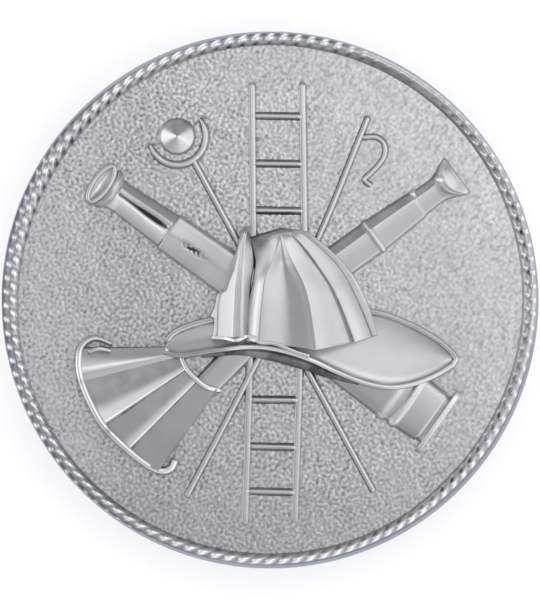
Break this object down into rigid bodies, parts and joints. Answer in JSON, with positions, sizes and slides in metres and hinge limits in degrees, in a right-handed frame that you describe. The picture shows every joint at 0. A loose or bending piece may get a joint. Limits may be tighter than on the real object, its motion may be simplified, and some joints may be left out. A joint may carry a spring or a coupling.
{
  "type": "insignia pin",
  "caption": "Round struck metal insignia with a rope border and a raised firefighting emblem, two soldered posts behind it and two plain clutches that hold it on cloth.",
  "frame": {"origin": "on the surface that the clutches stand on, under the disc's centre", "axes": "+Z is the way the struck face looks, +Y is the emblem's top, +X is the emblem's right as the face is read"},
  "size_m": [0.0254, 0.0254, 0.0097],
  "materials": {
    "plated_face": "satin bright nickel plate over struck brass, pebbled field, smooth raised emblem",
    "clutch": "bright nickel plate over pressed brass"
  },
  "bodies": {
    "root": {"disc": "plated_face", "clutch_left": "clutch", "clutch_right": "clutch"}
  },
  "joints": []
}
